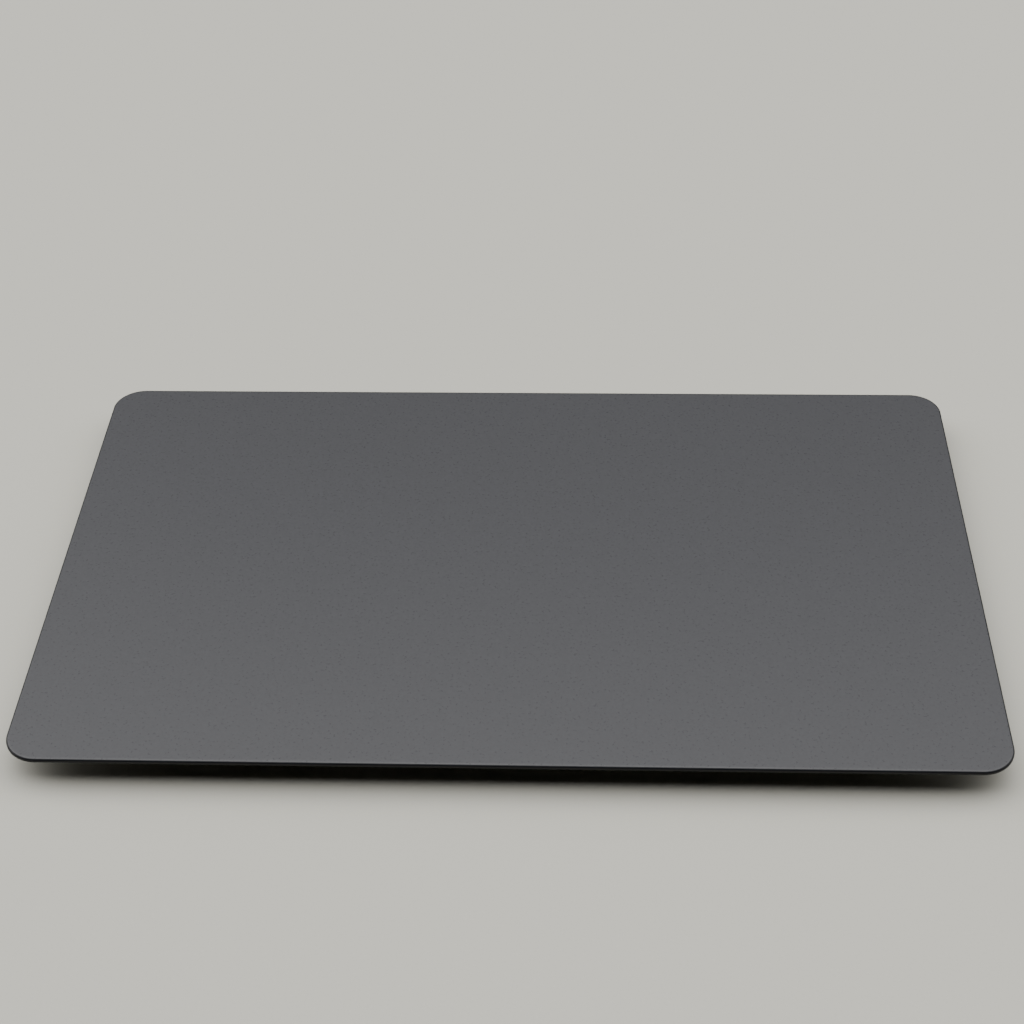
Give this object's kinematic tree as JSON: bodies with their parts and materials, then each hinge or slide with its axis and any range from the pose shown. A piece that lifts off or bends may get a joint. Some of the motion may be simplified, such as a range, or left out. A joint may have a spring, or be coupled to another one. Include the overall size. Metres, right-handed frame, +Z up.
{
  "type": "haptic trackpad module",
  "caption": "Flat pressure-sensing trackpad module: etched dark grey cover plate with rounded corners, carried on leaf springs over a pressed frame with a haptic engine.",
  "frame": {"origin": "centre of the bounding box on the plane that the mount frame rests on", "axes": "+X to the user's right along the plate's long side, +Y away from the user, +Z up out of the touch surface"},
  "size_m": [0.16, 0.0996, 0.0054],
  "materials": {
    "etched_glass": "satin",
    "adhesive_sheet": "satin",
    "board_black_mask": "satin",
    "stainless_sheet": "satin",
    "frame_steel": "satin",
    "spring_steel": "satin",
    "plated_steel": "satin",
    "nickel_plated_iron": "satin",
    "core_iron": "satin",
    "black_screw_steel": "satin",
    "chip_epoxy": "matte",
    "sensor_lid_steel": "satin",
    "capacitor_ceramic": "matte",
    "tinned_can": "satin",
    "socket_nylon": "matte",
    "latch_nylon": "matte",
    "gold_contacts": "satin",
    "engine_moulding": "matte",
    "copper_winding": "gloss",
    "polyimide_flex": "satin",
    "gauge_foil": "satin",
    "pad_aluminium": "satin",
    "gel_silicone": "satin",
    "stop_rubber": "matte"
  },
  "bodies": {
    "base": {"mount_frame": "frame_steel", "clinch_nuts": "plated_steel", "flexure_front_left": "spring_steel", "flexure_front_right": "spring_steel", "flexure_back_left": "spring_steel", "flexure_back_right": "spring_steel", "strain_gauge_front_left": "gauge_foil", "strain_gauge_front_right": "gauge_foil", "strain_gauge_back_left": "gauge_foil", "strain_gauge_back_right": "gauge_foil", "flexure_screws": "black_screw_steel", "engine_base": "stainless_sheet", "engine_screws": "black_screw_steel", "core_spacer": "engine_moulding", "engine_core": "core_iron", "core_screws": "black_screw_steel", "bobbin_1": "engine_moulding", "bobbin_2": "engine_moulding", "bobbin_3": "engine_moulding", "bobbin_4": "engine_moulding", "coil_1": "copper_winding", "coil_2": "copper_winding", "coil_3": "copper_winding", "coil_4": "copper_winding", "coil_flex": "polyimide_flex", "frame_flex": "polyimide_flex", "link_tail": "polyimide_flex", "press_stops": "stop_rubber"},
    "spring_ends": {"load_pad_front_left": "pad_aluminium", "load_pad_front_right": "pad_aluminium", "load_pad_back_left": "pad_aluminium", "load_pad_back_right": "pad_aluminium", "gel_pad_front_left": "gel_silicone", "gel_pad_front_right": "gel_silicone", "gel_pad_back_left": "gel_silicone", "gel_pad_back_right": "gel_silicone"},
    "plate": {"cover_glass": "etched_glass", "glass_bond": "adhesive_sheet", "sensor_board": "board_black_mask", "stiffener_plate": "stainless_sheet", "plate_bosses": "plated_steel", "armature_rail": "nickel_plated_iron", "armature_screws": "black_screw_steel", "touch_controller": "chip_epoxy", "system_controller": "chip_epoxy", "force_amplifier": "chip_epoxy", "haptic_driver": "chip_epoxy", "accelerometer": "sensor_lid_steel", "clock_crystal": "sensor_lid_steel", "passive_components": "capacitor_ceramic", "shield_can": "tinned_can", "host_socket": "socket_nylon", "socket_contacts": "gold_contacts", "flex_socket": "socket_nylon"},
    "latch": {"socket_latch": "latch_nylon"}
  },
  "joints": [
    {"name": "press", "type": "slide", "parent": "base", "child": "spring_ends", "axis": [0, 0, 1], "range_m": [-0.00025, 0], "stiffness_N_per_m": 15000, "springref_m": 0.0001, "deforming": ["flexure_front_left", "flexure_front_right", "flexure_back_left", "flexure_back_right", "strain_gauge_front_left", "strain_gauge_front_right", "strain_gauge_back_left", "strain_gauge_back_right", "link_tail"]},
    {"name": "haptic_shift", "type": "slide", "parent": "spring_ends", "child": "plate", "axis": [0, 1, 0], "range_m": [-0.0002, 0.0002], "stiffness_N_per_m": 6000, "deforming": ["gel_pad_front_left", "gel_pad_front_right", "gel_pad_back_left", "gel_pad_back_right"]},
    {"name": "latch_flip", "type": "hinge", "parent": "plate", "child": "latch", "pos_m": [0, 0.027, 0.003], "axis": [-1, 0, 0], "range_deg": [0, 90]}
  ]
}
